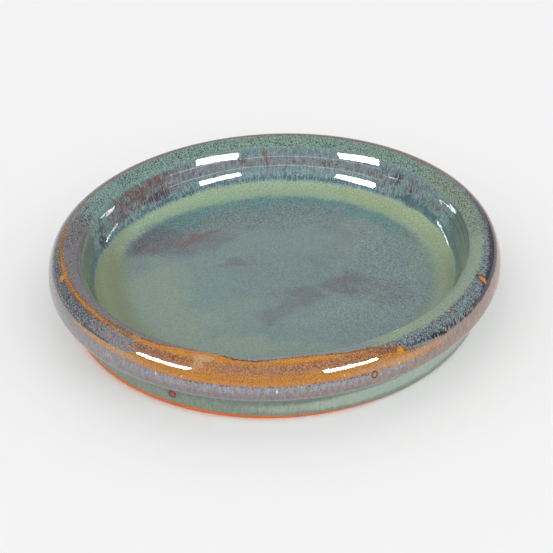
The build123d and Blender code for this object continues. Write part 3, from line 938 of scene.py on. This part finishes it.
def backdrop_material():
    grey = (backdrop_grey, backdrop_grey, backdrop_grey, 1)
    settings = {"Base Color": grey, "Roughness": backdrop_roughness, "Specular IOR Level": 0}
    return Nodes("floor").finish(settings)


# Pieces

def on_clay(reach):
    return 0


def coat(name, outer, inner, top, bottom=on_clay, ends=()):
    """A glaze coat: its outer face from ring to ring, then its inner face. Without ends it closes on itself.

    top and bottom give how high each face lies above the clay."""
    rings = [surface(reach, top(reach)) for reach in outer]
    rings += [surface(reach, bottom(reach)) for reach in inner]
    mesh = turned_mesh(name, rings, closed_loop=not ends)
    reaches = [np.broadcast_to(reach, turns) for reach in (*outer, *inner)]
    paint_layout(mesh, np.concatenate([*reaches, ends]) / mm)
    return mesh


def well_glaze():
    outer = spread([(at["floor"] + hub_radius, 2 * mm), (at["cove"] - 6 * mm, 1 * mm),
                    (at["lower_wall"], 0.3 * mm), (at["throat"] + 1 * mm, 1.5 * mm)], 0)
    inner = spread([(0, 2 * mm), (at["cove"], 6 * mm)], at["floor"] + hub_radius)
    return coat("well_glaze_coat", outer, inner, green_thickness, ends=(at["floor"], at["floor"]))


def wall_glaze():
    ends = glaze_line()

    def beaded(reach):
        """The green coat's thickness, rounded off to nothing at the glaze line."""
        left = np.clip((ends - reach) / bead_width, 0, 1)
        return green_thickness(reach) * np.sqrt(np.clip(1 - (1 - left) ** 2, 0, 1))

    level = spread([(0, 1.5 * mm), (at["underside"] + 6 * mm, 0.8 * mm)], at["foot_wall"])
    outer = [np.full(turns, reach) for reach in level]
    for share in np.linspace(0, 1, 15)[1:]:
        outer.append(at["foot_wall"] + (ends - bead_width - at["foot_wall"]) * share)
    outer += [ends - bead_width * (1 - sin(radians(angle))) for angle in range(8, 90, 9)]
    inner = [ends] + [at["foot_wall"] + (ends - at["foot_wall"]) * share for share in (0.66, 0.33)]
    inner += [np.full(turns, reach) for reach in level[::-1]]
    return coat("wall_glaze_coat", outer, inner, beaded)


def rim_glaze():
    outer = spread([(rim_inner_edge, 0.32 * mm), (at["crest_inside"], 0.55 * mm),
                    (at["underside"] + 4 * mm, 1 * mm)], rim_outer_edge)
    return coat("rim_glaze_coat", outer, outer[::-1][::3], glazed_rim_thickness, bottom=green_thickness)


def clay_body():
    reaches = spread([(at["floor"] + hub_radius, 4 * mm), (at["cove"], 1.5 * mm),
                      (at["foot_wall"] + 6 * mm, 1 * mm), (at["foot_edge"], 0.15 * mm),
                      (at["foot_ring"], 1 * mm), (at["ring_edge"], 0.15 * mm),
                      (at["recess_cove"], 0.4 * mm), (at["recess"], 1.2 * mm)], path_end - hub_radius)
    rings = []
    for reach in reaches:
        ring = surface(reach, 0)
        if reach > at["recess"]:
            left = path_end - reach
            groove = groove_height * sin(2 * pi * left / groove_pitch)
            ring[:, 2] += groove * above(reach, at["recess"], 4 * mm) * smooth(left / (8 * mm))
        rings.append(ring)
    return turned_mesh("clay_body_clay", rings)


green = glaze_material("green_glaze")
amber = glaze_material("rim_glaze")
clay = clay_material()
piece("clay", clay_body(), clay, "fired_clay", "clay_body")
piece("well_coat", well_glaze(), green, "green_glaze", "well_glaze")
piece("wall_coat", wall_glaze(), green, "green_glaze", "wall_glaze")
piece("rim_coat", rim_glaze(), amber, "rim_glaze", "rim_glaze")


# Backdrop, camera and light

# Camera: its place in degrees and metres, and its lens and the middle of its view in pixels of the picture
camera_elevation, camera_distance, camera_roll = 34.09, 0.884, -2.36
picture_px, focal_px = 553, 1505.3
centre_x_px, centre_y_px = 275.9, 291.25

# Lamps: azimuth, elevation, the width and height they fill in degrees, radiance, and whether they show in the
# gloss or light the colours
LAMPS = {
    "softbox_right": (33.6, 21.5, 24.8, 10.2, 300, True),
    "softbox_left": (-55, 21.5, 25.5, 10.2, 300, True),
    "key_right": (40, 30, 40, 30, 0.6, False),
    "key_left": (-55, 30, 40, 30, 0.15, False),
}
lamp_distance = 2.0

# The studio's walls: how bright they light things, and how bright they look in the gloss
studio_light, studio_gloss = 0.93, 0.4


def backdrop():
    half = backdrop_half
    mesh = bpy.data.meshes.new("floor")
    corners = [(-half, -half, 0), (half, -half, 0), (half, half, 0), (-half, half, 0)]
    mesh.from_pydata(corners, [], [(0, 1, 2, 3)])
    mesh.materials.append(backdrop_material())
    add_object("floor", mesh)


def camera():
    data = bpy.data.cameras.new("camera")
    data.sensor_width = 36
    data.lens = focal_px / picture_px * data.sensor_width
    data.shift_x = (picture_px / 2 - centre_x_px) / picture_px
    data.shift_y = (centre_y_px - picture_px / 2) / picture_px
    data.clip_start = 0.01
    eye = add_object("camera", data)
    forward = Vector((0, cos(radians(camera_elevation)), -sin(radians(camera_elevation))))
    turn = forward.to_track_quat("-Z", "Y").to_matrix().to_4x4()
    roll = Matrix.Rotation(radians(camera_roll), 4, "Z")
    eye.matrix_world = Matrix.Translation(-forward * camera_distance) @ turn @ roll
    bpy.context.scene.camera = eye


def lamp(name, azimuth, elevation, wide, high, radiance, gloss):
    """A rectangular light that faces the saucer, and either shows in the gloss or lights the colours."""
    data = bpy.data.lights.new(name, "AREA")
    data.shape = "RECTANGLE"
    data.size = 2 * lamp_distance * sin(radians(wide / 2))
    data.size_y = 2 * lamp_distance * sin(radians(high / 2))
    data.energy = radiance * pi * data.size * data.size_y
    turn, lift = radians(azimuth), radians(elevation)
    away = Vector((sin(turn) * cos(lift), -cos(turn) * cos(lift), sin(lift)))
    facing = away.to_track_quat("Z", "Y").to_matrix().to_4x4()
    light = add_object(name, data)
    light.matrix_world = Matrix.Translation(away * lamp_distance) @ facing
    light.visible_diffuse = not gloss
    light.visible_glossy = gloss


def world():
    scene = bpy.context.scene
    scene.world = bpy.data.worlds.new("studio")
    scene.world.use_nodes = True
    tree = scene.world.node_tree
    back = tree.nodes["Background"]
    back.inputs["Color"].default_value = (1, 1, 1, 1)
    rays = tree.nodes.new("ShaderNodeLightPath")
    strength = tree.nodes.new("ShaderNodeMapRange")
    strength.inputs["To Min"].default_value = studio_light
    strength.inputs["To Max"].default_value = studio_gloss
    tree.links.new(rays.outputs["Is Glossy Ray"], strength.inputs["Value"])
    tree.links.new(strength.outputs["Result"], back.inputs["Strength"])
    scene.view_settings.view_transform = "Standard"


backdrop()
camera()
world()
for name, settings in LAMPS.items():
    lamp(name, *settings)
